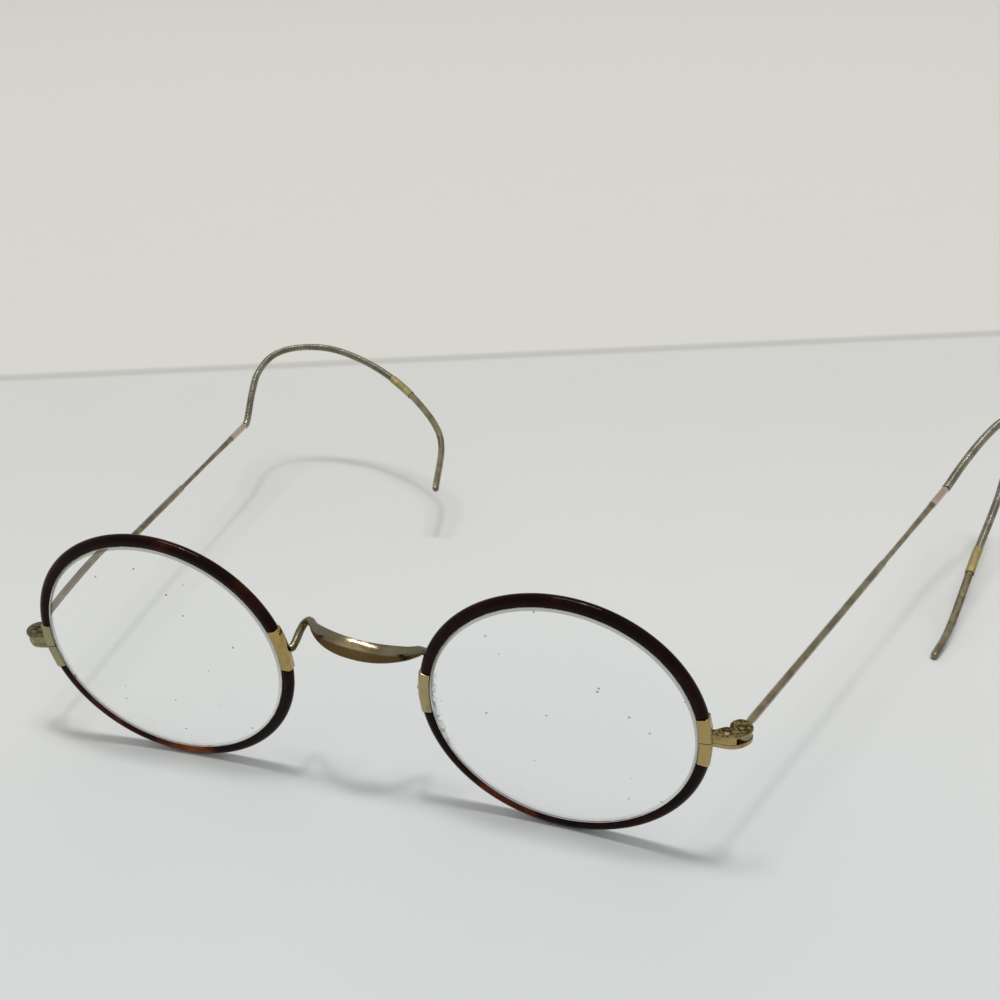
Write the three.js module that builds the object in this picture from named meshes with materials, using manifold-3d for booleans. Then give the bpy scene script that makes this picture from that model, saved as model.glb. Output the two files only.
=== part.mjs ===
// Round eyeglasses: split metal eyewires in tortoiseshell covers, a saddle bridge and cable temples.
// Millimetres and degrees. X runs across the front, Y runs back along the temples and Z is up.
// Each eye is drawn as a right eye about the centre of its lens, and the left eye is its mirror image.
import * as THREE from "three";
import { mergeVertices } from "three/addons/utils/BufferGeometryUtils.js";
import Module from "manifold-3d";

const wasm = await Module();
wasm.setup();

// Lens: round plus-power meniscus with a bevelled edge.
const LENS_SPACING = 64.6;
const LENS_RADIUS = 20;
const LENS_EDGE = 1.4;
const LENS_FRONT_CURVE = 92;
const LENS_BACK_CURVE = 180;
const BEVEL_HEIGHT = 0.3;
const BEVEL_WIDTH = 0.6;

// Eyewire: split ring with a groove for the lens bevel.
const SEAT_GAP = 0.05;
const EYEWIRE_THICKNESS = 0.75;
const EYEWIRE_WIDTH = 1.1;
const SPLIT_GAP = 0.12;

// Rim covers: sleeves, C-shaped in section, open towards the lens.
const COVER_WALL = 1.03;
const COVER_DEPTH = 1.75;
const COVER_LIP_SETBACK = 0.1;
const COVER_LIP_THICKNESS = 0.12;
const COVER_END_GAP = 0.1;

// Collars: gold bands with flat faces between the ends of the covers, a little above the lens centre.
const COLLAR_RISE = 0.9;
const COLLAR_PROUD = 0.09;
const COLLAR_DEPTH = 1.9;
const COLLAR_CHAMFER = 0.4;
const TEMPORAL_COLLAR_ARC = 11.4;
const NASAL_COLLAR_ARC = 10.2;

// How each eye has settled: turned in its own plane, tipped forward and swung out.
const EYE_TILT = 2.64;
const EYE_SWING = 1.98;
const EYE_TURN = { left: 8.1, right: 1.3 };

// Endpieces and hinge, measured out from the face of the collar and back from the lens plane.
const HINGE_OUT = 3.5;
const HINGE_BACK = 2.25;
const LEAF_RADIUS = 1.64;
const TOP_LEAF = 0.32;
const BOTTOM_LEAF = 0.74;
const LEAF_BEVEL = 0.08;
const TONGUE_THICKNESS = 1;
const TONGUE_RADIUS = 1.5;
const LEAF_MEET_ANGLE = -35;
const LOBE_RADIUS = 0.95;
const LOBE_END_ANGLE = 128;
const ARM_FRONT = -0.45;
const CLOSING_SCREW_OUT = 1.7;
const CLOSING_SCREW_BACK = 0.9;
const BLOCK_FIRST_ANGLE = 200;
const BLOCK_LAST_ANGLE = 262;
const LUG_ROOT = 0.7;

// Screws.
const SHANK_RADIUS = 0.42;
const HINGE_HEAD_RADIUS = 0.6;
const HINGE_HEAD_HEIGHT = 0.3;
const CLOSING_HEAD_RADIUS = 0.64;
const CLOSING_HEAD_HEIGHT = 0.42;
const HEAD_SINK = 0.2;
const SCREW_SLOT = 0.2;
const DOME_SHARE = 0.6;

// Bridge: a saddle that rises to a crest in the lens plane, with a loop behind each rim.
const BRIDGE_WIRE = 1.3;
const BRIDGE_FOOT_DROP = 0.6;
const ARM_BULGE = 0.975;
const ARM_BEND = 0.74;
const ARM_AIM = 0.84;
const SADDLE_WIDTH = 3.25;
const SADDLE_TAPER = 2.6;
const SADDLE_REACH = { left: 0.87, right: 1 };
const SADDLE_THICKNESS = 1.05;
const SADDLE_LEAN = 42;
const CREST_HEIGHT = 6.32;
const CREST_SHIFT = 0.5;
const CREST_ROLL = 7.3;
const LOOP_INSET = 0.88;
const LOOP_BACK = 5.34;
const LOOP_DROP = 1.34;
const SADDLE_POWER = 2.2;

// Temples: a slim bar with a step, a ferrule, a wound cable, a sleeve and a plain tail.
const SHAFT_LENGTH = 75.2;
const SHAFT_WIDTH = 1.15;
const SHAFT_HEIGHT = 1.3;
const SHAFT_STEP = 51.5;
const STEP_LENGTH = 0.4;
const SLIM_DIAMETER = 0.92;
const SWELL_DIAMETER = 1.2;
const SWELL_LENGTH = 12;
const NECK_WIDTH = 1;
const NECK_HEIGHT = 0.88;
const NECK_CLEAR = 0.4;
const SPIGOT_RADIUS = 0.45;
const FERRULE_LENGTH = 7;
const FERRULE_RADIUS = 0.68;
const FERRULE_CHAMFER = 0.08;
const CORE_RADIUS = 0.4;
const WINDING_RADIUS = 0.8;
const SOCKET_DEPTH = 1.4;
const SLEEVE_LENGTH = 6.7;
const SLEEVE_GAP = 0.06;
const SLEEVE_WALL = 0.08;
const TAIL_LENGTH = { left: 33.5, right: 25.7 };
const TIP_RADIUS = 0.72;
const TEMPLE_SPLAY = { left: 1.79, right: 19.47 };
const TEMPLE_PITCH = { left: -2.89, right: -1.82 };

// The middle of each cable as [out from the head, back past the ferrule, up].
const CURL = {
  left: [
    [0, 7.6, 5],
    [0, 12.5, 7.8],
    [-2, 17.4, 10],
    [-5.6, 20.2, 10.6],
    [-14.7, 22.5, 9.2],
    [-27.3, 19.7, 4.2],
    [-39.4, 11.7, -3],
    [-44.9, 4.5, -7.8],
    [-46.4, -9.2, -14],
  ],
  right: [
    [0.4, 7.2, 1.9],
    [1.3, 16.4, 4.2],
    [2.3, 22.8, 5.2],
    [2.8, 29.9, 2.9],
    [3.3, 32.3, -2.9],
    [3.7, 29.9, -8.7],
    [4.5, 24.4, -11.7],
    [6.1, 7.2, -17],
    [8, -11.5, -23.3],
    [7.9, -18.1, -24.68],
  ],
};
const CURL_LEAD = 1.2;

// Facets.
const RING_STEP = 7.5;
const CAP_SIDES = 12;
const CURVE_SEGMENTS = 7;
const COVER_ARC_STEPS = 6;
const CABLE_SIDES = 8;
const CORE_SIDES = 6;
const CABLE_STEPS = 28;
const TAIL_STEPS = 14;
const NOSE_ANGLES = [25, 50, 72];
const SLEEVE_STEPS = 5;
const BRIDGE_SIDES = 10;
const BRIDGE_STEPS = 48;
const LENS_RINGS = 4;

// Sizes that follow from the ones above.
const eyewireInner = LENS_RADIUS + SEAT_GAP;
const eyewireOuter = eyewireInner + EYEWIRE_THICKNESS;
const channelRadius = eyewireOuter + SEAT_GAP;
const channelHalf = EYEWIRE_WIDTH / 2 + SEAT_GAP;
const coverOuter = channelRadius + COVER_WALL;
const coverLip = eyewireInner + COVER_LIP_SETBACK;
const collarOuter = coverOuter + COLLAR_PROUD;
const riseAngle = THREE.MathUtils.radToDeg(Math.asin(COLLAR_RISE / collarOuter));
const splitHalf = SPLIT_GAP / 2;
const slotTop = TONGUE_THICKNESS + SEAT_GAP - splitHalf + SEAT_GAP;
const leafTop = slotTop + TOP_LEAF;
const leafBottom = -splitHalf - BOTTOM_LEAF;
const tongueMiddle = (slotTop - splitHalf) / 2;
const hinge = new THREE.Vector2(collarOuter + HINGE_OUT, HINGE_BACK);
const closing = new THREE.Vector2(collarOuter + CLOSING_SCREW_OUT, CLOSING_SCREW_BACK);
const screwHole = SHANK_RADIUS + SEAT_GAP;
const cableUp = new THREE.Vector3(0, 0.3, 1);

const material = {
  glass: new THREE.MeshStandardMaterial({
    color: 0xe6ebe6,
    roughness: 0.05,
    metalness: 0,
    transparent: true,
    opacity: 0.3,
  }),
  shell: new THREE.MeshStandardMaterial({ color: 0x2a100b, roughness: 0.2, metalness: 0 }),
  gold: new THREE.MeshStandardMaterial({ color: 0xb09c60, roughness: 0.35, metalness: 1 }),
  worn: new THREE.MeshStandardMaterial({ color: 0x7d7450, roughness: 0.4, metalness: 1 }),
  cable: new THREE.MeshStandardMaterial({ color: 0x8a8468, roughness: 0.35, metalness: 1 }),
};

const radians = THREE.MathUtils.degToRad;

// Closed solids for joining and cutting.
function toSolid(geometry) {
  const bare = geometry.index ? geometry.toNonIndexed() : geometry.clone();
  bare.deleteAttribute("normal");
  bare.deleteAttribute("uv");
  const merged = mergeVertices(bare, 1e-4);
  const vertProperties = merged.attributes.position.array;
  const triVerts = new Uint32Array(merged.index.array);
  return new wasm.Manifold(new wasm.Mesh({ numProp: 3, vertProperties, triVerts }));
}

function toGeometry(solid) {
  const mesh = solid.getMesh();
  const geometry = new THREE.BufferGeometry();
  geometry.setAttribute("position", new THREE.BufferAttribute(mesh.vertProperties, 3));
  geometry.setIndex(new THREE.BufferAttribute(mesh.triVerts, 1));
  geometry.computeVertexNormals();
  return geometry;
}

// A skin through rings of points, closed at both ends by the section that the rings repeat.
function loft(rings, section) {
  const count = section.length;
  const points = rings.flat();
  const faces = [];
  for (let start = 0; start < points.length - count; start += count) {
    for (let i = 0; i < count; i++) {
      const next = (i + 1) % count;
      faces.push(start + i, start + next, start + next + count);
      faces.push(start + i, start + next + count, start + i + count);
    }
  }
  const last = points.length - count;
  for (const triangle of THREE.ShapeUtils.triangulateShape(section, [])) {
    const corners = triangle.map((i) => section[i]);
    const [i, j, k] = THREE.ShapeUtils.isClockWise(corners) ? [...triangle].reverse() : triangle;
    faces.push(k, j, i);
    faces.push(last + i, last + j, last + k);
  }
  const geometry = new THREE.BufferGeometry().setFromPoints(points);
  geometry.setIndex(faces);
  geometry.computeVertexNormals();
  return geometry;
}

// Part of a ring about the lens axis, from a section of radius and depth. The steps between its
// ends fall on the same angles in every ring, so that nested rings share their facets.
function ringSector(section, first, last) {
  const angles = [first];
  for (let a = Math.ceil(first / RING_STEP + 0.1) * RING_STEP; a < last - 0.1 * RING_STEP; a += RING_STEP) {
    angles.push(a);
  }
  angles.push(last);
  const rings = angles.map((angle) => {
    const c = Math.cos(radians(angle));
    const s = Math.sin(radians(angle));
    return section.map((p) => new THREE.Vector3(p.x * c, p.y, p.x * s));
  });
  return loft(rings, section);
}

function points2(list) {
  return list.map(([x, y]) => new THREE.Vector2(x, y));
}

function roundSection(halfWidth, halfHeight, sides) {
  return Array.from({ length: sides }, (_, i) => {
    const a = (2 * Math.PI * (i + 0.5)) / sides;
    return new THREE.Vector2(halfWidth * Math.cos(a), halfHeight * Math.sin(a));
  });
}

// One ring of a sweep: the section stands across the tangent, with its y axis towards the normal.
function ringAcross(centre, tangent, normal, section) {
  const up = normal.clone().addScaledVector(tangent, -normal.dot(tangent)).normalize();
  const side = up.clone().cross(tangent);
  return section.map((p) => centre.clone().addScaledVector(side, p.x).addScaledVector(up, p.y));
}

function extrude(shape, bottom, top, bevel = 0) {
  const geometry = new THREE.ExtrudeGeometry(shape, {
    depth: top - bottom - 2 * bevel,
    curveSegments: CURVE_SEGMENTS,
    bevelEnabled: bevel > 0,
    bevelThickness: bevel,
    bevelSize: bevel,
    bevelOffset: -bevel,
    bevelSegments: 1,
  });
  return geometry.translate(0, 0, bottom + bevel);
}

function post(place, radius, bottom, top, sides = CAP_SIDES) {
  const geometry = new THREE.CylinderGeometry(radius, radius, top - bottom, sides);
  return geometry.rotateX(Math.PI / 2).translate(place.x, place.y, (bottom + top) / 2);
}

function lensGeometry() {
  const sag = (curve, r) => curve - Math.sqrt(curve * curve - r * r);
  const edge = LENS_EDGE / 2;
  const steps = Array.from({ length: LENS_RINGS + 1 }, (_, i) => (LENS_RADIUS * i) / LENS_RINGS);
  const front = steps.map((r) => [r, -edge + sag(LENS_FRONT_CURVE, r) - sag(LENS_FRONT_CURVE, LENS_RADIUS)]);
  const back = steps.map((r) => [r, edge + sag(LENS_BACK_CURVE, r) - sag(LENS_BACK_CURVE, LENS_RADIUS)]);
  const bevel = [
    [LENS_RADIUS, -BEVEL_WIDTH / 2],
    [LENS_RADIUS + BEVEL_HEIGHT, 0],
    [LENS_RADIUS, BEVEL_WIDTH / 2],
  ];
  return new THREE.LatheGeometry(points2([...front, ...bevel, ...back.reverse()]), 360 / RING_STEP);
}

function eyewireGeometry() {
  const half = EYEWIRE_WIDTH / 2;
  const groove = BEVEL_WIDTH / 2 + SEAT_GAP;
  const section = points2([
    [eyewireInner, -half],
    [eyewireOuter, -half],
    [eyewireOuter, half],
    [eyewireInner, half],
    [eyewireInner, groove],
    [eyewireInner + BEVEL_HEIGHT + SEAT_GAP, 0],
    [eyewireInner, -groove],
  ]);
  const split = THREE.MathUtils.radToDeg(splitHalf / eyewireInner);
  return ringSector(section, riseAngle + split, riseAngle + 360 - split);
}

function coverGeometry(first, last) {
  const lip = channelHalf + COVER_LIP_THICKNESS;
  const round = Array.from({ length: COVER_ARC_STEPS + 1 }, (_, i) => {
    const a = Math.PI * (i / COVER_ARC_STEPS - 0.5);
    return [channelRadius + COVER_WALL * Math.cos(a), (COVER_DEPTH / 2) * Math.sin(a)];
  });
  const section = points2([
    [coverLip, -lip],
    ...round,
    [coverLip, lip],
    [coverLip, channelHalf],
    [channelRadius, channelHalf],
    [channelRadius, -channelHalf],
    [coverLip, -channelHalf],
  ]);
  return ringSector(section, first, last);
}

function collarGeometry(first, last) {
  const half = COLLAR_DEPTH / 2;
  const section = points2([
    [coverLip, -half + COLLAR_CHAMFER / 3],
    [coverLip + COLLAR_CHAMFER / 3, -half],
    [collarOuter - COLLAR_CHAMFER, -half],
    [collarOuter, -half + COLLAR_CHAMFER],
    [collarOuter, half - COLLAR_CHAMFER],
    [collarOuter - COLLAR_CHAMFER, half],
    [coverLip + COLLAR_CHAMFER / 3, half],
    [coverLip, half - COLLAR_CHAMFER / 3],
    [coverLip, channelHalf],
    [channelRadius, channelHalf],
    [channelRadius, -channelHalf],
    [coverLip, -channelHalf],
  ]);
  return ringSector(section, first, last);
}

// Plan of a hinge leaf: an arm out of the collar that sweeps back into the round eye of the hinge,
// with a smaller lobe round the closing screw and a notch where the two circles meet.
function leafShape() {
  const root = collarOuter - LUG_ROOT;
  const meet = radians(LEAF_MEET_ANGLE);
  const meetX = hinge.x + LEAF_RADIUS * Math.cos(meet);
  const meetY = hinge.y + LEAF_RADIUS * Math.sin(meet);
  const bendX = meetX + (meetY - ARM_FRONT) * Math.tan(meet);
  const collarBack = COLLAR_DEPTH / 2 - LEAF_BEVEL;
  const apart = hinge.clone().sub(closing);
  const reach = apart.length();
  const share = (reach ** 2 + LOBE_RADIUS ** 2 - LEAF_RADIUS ** 2) / (2 * reach);
  const notchOnLeaf = apart.angle() + Math.PI - Math.acos((reach - share) / LEAF_RADIUS);
  const notchOnLobe = apart.angle() + Math.acos(share / LOBE_RADIUS);
  const shape = new THREE.Shape();
  shape.moveTo(root, ARM_FRONT);
  shape.lineTo(closing.x, ARM_FRONT);
  shape.quadraticCurveTo(bendX, ARM_FRONT, meetX, meetY);
  shape.absarc(hinge.x, hinge.y, LEAF_RADIUS, meet, notchOnLeaf);
  shape.absarc(closing.x, closing.y, LOBE_RADIUS, notchOnLobe, radians(LOBE_END_ANGLE));
  shape.lineTo(collarOuter, collarBack);
  shape.lineTo(root, collarBack);
  return shape;
}

// The space that the tongue and the neck of the temple swing through, all but the block.
function swingShape() {
  const inner = TONGUE_RADIUS + 2 * SEAT_GAP;
  const outer = 2 * LEAF_RADIUS;
  const first = radians(BLOCK_FIRST_ANGLE);
  const last = radians(BLOCK_LAST_ANGLE);
  const shape = new THREE.Shape();
  shape.absarc(hinge.x, hinge.y, inner, first, last);
  shape.absarc(hinge.x, hinge.y, outer, last - 2 * Math.PI, first);
  return shape;
}

function upperEndpieceGeometry() {
  const split = THREE.MathUtils.radToDeg(splitHalf / coverLip);
  const top = leafTop + HEAD_SINK;
  const block = toSolid(extrude(leafShape(), splitHalf, slotTop + TOP_LEAF / 2)).subtract(
    toSolid(extrude(swingShape(), leafBottom, top)),
  );
  const lug = toSolid(extrude(leafShape(), slotTop, leafTop, LEAF_BEVEL))
    .add(block)
    .subtract(toSolid(post(hinge, screwHole, leafBottom, top)))
    .subtract(toSolid(post(hinge, HINGE_HEAD_RADIUS + SEAT_GAP, leafTop - HEAD_SINK, top)))
    .subtract(toSolid(post(closing, screwHole, leafBottom, top)))
    .subtract(toSolid(post(closing, CLOSING_HEAD_RADIUS + SEAT_GAP, leafTop - CLOSING_HEAD_HEIGHT, top)));
  const collar = toSolid(collarGeometry(riseAngle + split, riseAngle + TEMPORAL_COLLAR_ARC));
  return toGeometry(collar.add(lug.translate([0, 0, COLLAR_RISE])));
}

function lowerEndpieceGeometry() {
  const split = THREE.MathUtils.radToDeg(splitHalf / coverLip);
  const bottom = leafBottom - HEAD_SINK;
  const lug = toSolid(extrude(leafShape(), leafBottom, -splitHalf, LEAF_BEVEL))
    .subtract(toSolid(post(hinge, screwHole, bottom, 0)))
    .subtract(toSolid(post(closing, screwHole, bottom, 0)));
  const collar = toSolid(collarGeometry(riseAngle - TEMPORAL_COLLAR_ARC, riseAngle - split));
  return toGeometry(collar.add(lug.translate([0, 0, COLLAR_RISE])));
}

// A screw from the underside of the bottom leaf to a domed, slotted head at the given seat.
function screwGeometry(place, headRadius, seat, headHeight) {
  const dome = headHeight / 4;
  const profile = points2([
    [0, leafBottom],
    [SHANK_RADIUS, leafBottom],
    [SHANK_RADIUS, seat],
    [headRadius, seat],
    [headRadius, seat + headHeight - dome],
    [headRadius * DOME_SHARE, seat + headHeight],
    [0, seat + headHeight],
  ]);
  const turned = new THREE.LatheGeometry(profile, CAP_SIDES).rotateX(Math.PI / 2);
  const slot = new THREE.BoxGeometry(3 * headRadius, SCREW_SLOT, headHeight);
  slot.translate(0, 0, seat + headHeight);
  const cut = toSolid(turned).subtract(toSolid(slot));
  return toGeometry(cut).translate(place.x, place.y, COLLAR_RISE);
}

function shaftGeometry(pitch) {
  const end = SHAFT_LENGTH - SEAT_GAP;
  const spigot = 2 * SPIGOT_RADIUS;
  const bar = [
    [TONGUE_RADIUS / 2, NECK_WIDTH, NECK_HEIGHT],
    [LEAF_RADIUS + NECK_CLEAR, NECK_WIDTH, NECK_HEIGHT],
    [2 * LEAF_RADIUS, SHAFT_WIDTH, SHAFT_HEIGHT],
    [SHAFT_STEP, SHAFT_WIDTH, SHAFT_HEIGHT],
    [SHAFT_STEP + STEP_LENGTH, SLIM_DIAMETER, SLIM_DIAMETER],
    [SHAFT_LENGTH - SWELL_LENGTH, SLIM_DIAMETER, SLIM_DIAMETER],
    [end - FERRULE_CHAMFER, SWELL_DIAMETER, SWELL_DIAMETER],
    [end, spigot, spigot],
    [SHAFT_LENGTH + FERRULE_LENGTH - SOCKET_DEPTH - SEAT_GAP, spigot, spigot],
  ];
  const along = new THREE.Vector3(0, 1, 0);
  const up = new THREE.Vector3(0, 0, 1);
  const rings = bar.map(([y, width, height]) =>
    ringAcross(new THREE.Vector3(0, y, 0), along, up, roundSection(width / 2, height / 2, CABLE_SIDES)),
  );
  const shaft = loft(rings, roundSection(1, 1, CABLE_SIDES)).rotateX(radians(pitch));
  const centre = new THREE.Vector2(0, 0);
  const half = TONGUE_THICKNESS / 2;
  const solid = toSolid(shaft)
    .add(toSolid(post(centre, TONGUE_RADIUS, -half, half, 2 * CAP_SIDES)))
    .subtract(toSolid(post(centre, screwHole, -2 * half, 2 * half)));
  return toGeometry(solid);
}

// A polished tube that takes the end of the shaft at its front and the core of the cable at its back.
function ferruleGeometry() {
  const socket = FERRULE_LENGTH - SOCKET_DEPTH;
  const bore = SPIGOT_RADIUS + SEAT_GAP;
  const coreBore = CORE_RADIUS + SEAT_GAP;
  const profile = points2([
    [bore, 0],
    [FERRULE_RADIUS - FERRULE_CHAMFER, 0],
    [FERRULE_RADIUS, FERRULE_CHAMFER],
    [FERRULE_RADIUS, FERRULE_LENGTH - FERRULE_CHAMFER],
    [FERRULE_RADIUS - FERRULE_CHAMFER, FERRULE_LENGTH],
    [coreBore, FERRULE_LENGTH],
    [coreBore, socket],
    [bore, socket],
    [bore, 0],
  ]);
  return new THREE.LatheGeometry(profile, CAP_SIDES);
}

// The middle line of a cable, straight out of the ferrule and then through its bends.
function curlPath(bends) {
  const lead = [new THREE.Vector3(0, SEAT_GAP, 0), new THREE.Vector3(0, CURL_LEAD, 0)];
  const points = bends.map(([out, back, up]) => new THREE.Vector3(out, back, up));
  return new THREE.CatmullRomCurve3([...lead, ...points], false, "centripetal");
}

// A ring of the given radius across the cable, at a distance along its middle line.
function cableRing(path, distance, radius, sides) {
  const t = distance / path.getLength();
  const section = roundSection(radius, radius, sides);
  return ringAcross(path.getPointAt(t), path.getTangentAt(t), cableUp, section);
}

function cableRings(path, first, last, steps, radius, sides = CABLE_SIDES) {
  const at = (i) => THREE.MathUtils.lerp(first, last, i / steps);
  return Array.from({ length: steps + 1 }, (_, i) => cableRing(path, at(i), radius, sides));
}

function coreGeometry(path, end) {
  const rings = cableRings(path, 0, end, CABLE_STEPS, CORE_RADIUS, CORE_SIDES);
  const reach = SOCKET_DEPTH - 2 * SEAT_GAP;
  const shift = (ring, direction) => ring.map((p) => p.clone().addScaledVector(direction, reach));
  const before = shift(rings[0], path.getTangentAt(0).negate());
  const after = shift(rings[CABLE_STEPS], path.getTangentAt(end / path.getLength()));
  return loft([before, ...rings, after], roundSection(CORE_RADIUS, CORE_RADIUS, CORE_SIDES));
}

// The plain end of the cable, which takes the core at its front and slims to a rounded nose.
function tailGeometry(path, start) {
  const end = path.getLength();
  const first = start + SEAT_GAP;
  const straight = end - TIP_RADIUS;
  const at = (i) => THREE.MathUtils.lerp(first, straight, i / TAIL_STEPS);
  const slim = (i) => THREE.MathUtils.lerp(WINDING_RADIUS, TIP_RADIUS, i / TAIL_STEPS);
  const rings = Array.from({ length: TAIL_STEPS + 1 }, (_, i) => cableRing(path, at(i), slim(i), CABLE_SIDES));
  for (const angle of NOSE_ANGLES) {
    const a = radians(angle);
    const distance = straight + TIP_RADIUS * Math.sin(a);
    rings.push(cableRing(path, distance, TIP_RADIUS * Math.cos(a), CABLE_SIDES));
  }
  const bore = CORE_RADIUS + SEAT_GAP;
  const socket = cableRings(path, start - SOCKET_DEPTH, start + SOCKET_DEPTH, 2, bore);
  const section = roundSection(1, 1, CABLE_SIDES);
  return toGeometry(toSolid(loft(rings, section)).subtract(toSolid(loft(socket, section))));
}

// A tube along the cable between two distances.
function tubeGeometry(path, first, end, steps, innerRadius, outerRadius) {
  const outerRings = cableRings(path, first, end, steps, outerRadius);
  const innerRings = cableRings(path, first, end, steps, innerRadius);
  const count = CABLE_SIDES;
  const points = [...outerRings.flat(), ...innerRings.flat()];
  const offset = outerRings.length * count;
  const last = steps * count;
  const faces = [];
  const quad = (a, b, c, d) => faces.push(a, b, c, a, c, d);
  for (let i = 0; i < count; i++) {
    const next = (i + 1) % count;
    for (let row = 0; row < last; row += count) {
      quad(row + i, row + next, row + next + count, row + i + count);
      quad(offset + row + next, offset + row + i, offset + row + i + count, offset + row + next + count);
    }
    quad(i, offset + i, offset + next, next);
    quad(last + i, last + next, offset + last + next, offset + last + i);
  }
  const geometry = new THREE.BufferGeometry().setFromPoints(points);
  geometry.setIndex(faces);
  geometry.computeVertexNormals();
  return geometry;
}

// The bridge runs from the back of one nasal collar to the other: back and up along an arm, round a
// loop and forward over the saddle. The ends are points on the collars, in the frame of the front.
function bridgeGeometry(ends) {
  const roll = radians(CREST_ROLL);
  const span = LENS_SPACING / 2 - collarOuter - LOOP_INSET;
  const onSaddle = (s) => {
    const fall = Math.abs(s) ** SADDLE_POWER;
    const x = span * s;
    const z = -LOOP_DROP * fall;
    return new THREE.Vector3(
      CREST_SHIFT + x * Math.cos(roll) + z * Math.sin(roll),
      LOOP_BACK * fall,
      CREST_HEIGHT - x * Math.sin(roll) + z * Math.cos(roll),
    );
  };
  const arm = (end, side) => {
    const foot = end.point.clone().addScaledVector(end.out, SEAT_GAP);
    const start = end.point.clone().addScaledVector(end.out, BRIDGE_WIRE / 3);
    const loop = onSaddle(side);
    const bulge = loop.clone().sub(onSaddle(ARM_AIM * side)).setLength(ARM_BULGE);
    return [foot, start, start.clone().lerp(loop, ARM_BEND).add(bulge)];
  };
  const arms = [arm(ends.left, -1), arm(ends.right, 1).reverse()];
  const stations = [-1, -0.8, -0.6, -0.4, -0.2, 0, 0.2, 0.4, 0.6, 0.8, 1].map(onSaddle);
  const path = new THREE.CatmullRomCurve3([...arms[0], ...stations, ...arms[1]], false, "centripetal");
  const saddleShare = (stations.length - 1) / (path.points.length - 1);
  const lean = radians(SADDLE_LEAN);
  const normal = new THREE.Vector3(0, -Math.sin(lean), Math.cos(lean));
  const rings = Array.from({ length: BRIDGE_STEPS + 1 }, (_, i) => {
    const t = i / BRIDGE_STEPS;
    const reach = saddleShare * (t < 0.5 ? SADDLE_REACH.left : SADDLE_REACH.right);
    const fromCrest = Math.min(1, Math.abs(2 * t - 1) / reach);
    const broad = 1 - fromCrest ** SADDLE_TAPER;
    const width = THREE.MathUtils.lerp(BRIDGE_WIRE, SADDLE_WIDTH, broad);
    const thickness = THREE.MathUtils.lerp(BRIDGE_WIRE, SADDLE_THICKNESS, broad);
    const section = roundSection(width / 2, thickness / 2, BRIDGE_SIDES);
    return ringAcross(path.getPoint(t), path.getTangent(t), normal, section);
  });
  const wire = roundSection(BRIDGE_WIRE / 2, BRIDGE_WIRE / 2, BRIDGE_SIDES);
  rings[0] = ringAcross(path.getPoint(0), ends.left.out, normal, wire);
  rings[BRIDGE_STEPS] = ringAcross(path.getPoint(1), ends.right.out.clone().negate(), normal, wire);
  return loft(rings, wire);
}

function addPiece(parent, name, geometry, finish) {
  const mesh = new THREE.Mesh(geometry, finish);
  mesh.name = name;
  parent.add(mesh);
  return mesh;
}

function addTemple(eye, side) {
  const temple = new THREE.Group();
  temple.position.set(hinge.x, hinge.y, COLLAR_RISE + tongueMiddle);
  temple.rotation.z = -radians(TEMPLE_SPLAY[side]);
  eye.add(temple);
  addPiece(temple, side + "_temple_shaft", shaftGeometry(TEMPLE_PITCH[side]), material.worn);

  const bar = new THREE.Group();
  bar.rotation.x = radians(TEMPLE_PITCH[side]);
  temple.add(bar);
  const ferrule = addPiece(bar, side + "_ferrule", ferruleGeometry(), material.gold);
  ferrule.position.y = SHAFT_LENGTH;

  const cable = new THREE.Group();
  cable.position.y = SHAFT_LENGTH + FERRULE_LENGTH;
  bar.add(cable);
  const path = curlPath(CURL[side]);
  const wound = path.getLength() - TAIL_LENGTH[side];
  addPiece(cable, side + "_cable_core", coreGeometry(path, wound), material.worn);
  const clear = CORE_RADIUS + 2 * SEAT_GAP;
  const winding = tubeGeometry(path, 0, wound, CABLE_STEPS, clear, WINDING_RADIUS);
  addPiece(cable, side + "_cable_winding", winding, material.cable);
  addPiece(cable, side + "_temple_tip", tailGeometry(path, wound), material.worn);
  const half = SLEEVE_LENGTH / 2;
  const grip = WINDING_RADIUS + SLEEVE_GAP;
  const sleeve = tubeGeometry(path, wound - half, wound + half, SLEEVE_STEPS, grip, grip + SLEEVE_WALL);
  addPiece(cable, side + "_cable_sleeve", sleeve, material.gold);
}

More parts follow.
